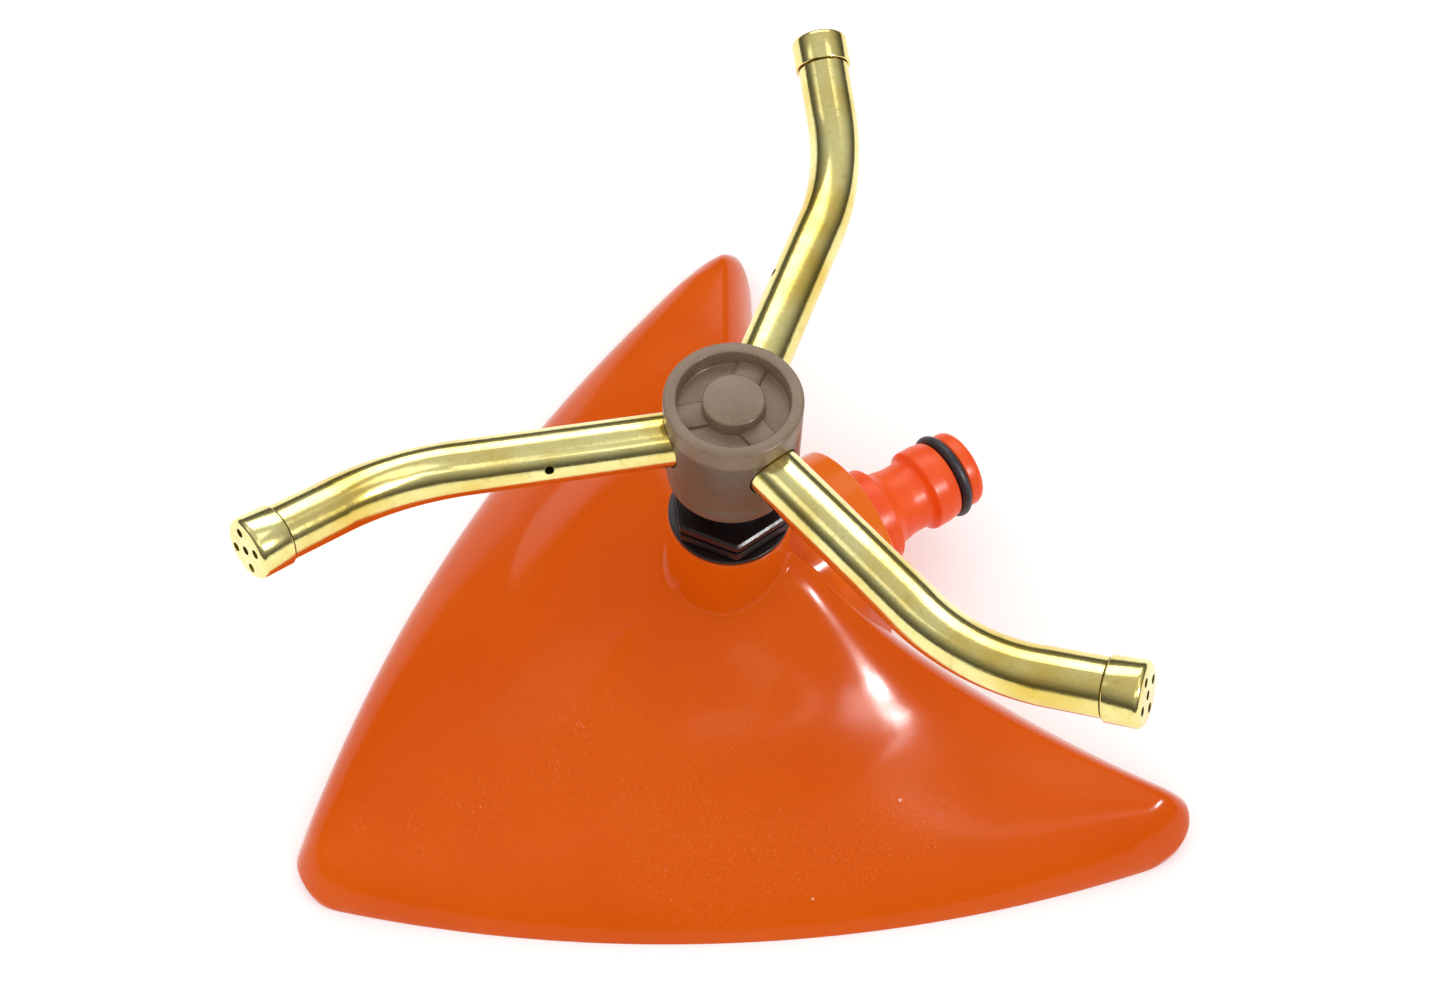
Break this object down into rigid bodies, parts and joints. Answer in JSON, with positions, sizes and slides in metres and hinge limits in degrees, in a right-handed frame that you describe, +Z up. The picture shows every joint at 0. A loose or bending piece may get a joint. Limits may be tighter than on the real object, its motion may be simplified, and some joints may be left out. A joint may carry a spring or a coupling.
{
  "type": "rotating lawn sprinkler",
  "caption": "Rotating lawn sprinkler: hollow delta-shaped base with a column and rear hose connector, and a hub of bent brass tubes that spins on a spindle.",
  "frame": {"origin": "on the head's spin axis, at ground level, on the flat foot of the water post", "axes": "+Z up along the spin axis, +Y from the column towards the hose connector, the nose of the base towards -Y"},
  "size_m": [0.1742, 0.1599, 0.0986],
  "materials": {
    "orange_shell": "glossy moulded orange plastic with light scuffs",
    "black_inner": "plain moulded black plastic, seen from below only",
    "red_orange_connector": "moulded red-orange plastic",
    "black_rubber": "black rubber",
    "black_gloss": "glossy black plastic",
    "white_washer": "low-friction white plastic",
    "taupe_hub": "glossy taupe plastic",
    "brass_tube": "bright yellow-plated tube with fine grain",
    "brass_cap": "bright yellow-plated drawn cap"
  },
  "bodies": {
    "base": {"base_shell": "orange_shell", "water_post": "black_inner", "inlet_connector": "red_orange_connector", "connector_o_ring": "black_rubber", "inlet_gasket": "black_rubber", "nut_washer": "black_gloss", "gland_nut": "black_gloss", "gland_seal": "black_rubber", "spindle": "black_gloss"},
    "head": {"thrust_washer_lower": "white_washer", "thrust_washer_upper": "white_washer", "hub_bottom_ring": "taupe_hub", "rotor_hub": "taupe_hub", "arm_tube_1": "brass_tube", "arm_cap_1": "brass_cap", "arm_seal_1": "black_rubber", "arm_tube_2": "brass_tube", "arm_cap_2": "brass_cap", "arm_seal_2": "black_rubber", "arm_tube_3": "brass_tube", "arm_cap_3": "brass_cap", "arm_seal_3": "black_rubber"}
  },
  "joints": [
    {"name": "head_spin", "type": "hinge", "parent": "base", "child": "head", "pos_m": [0, 0, 0.0727], "axis": [0, 0, 1], "continuous": true}
  ]
}
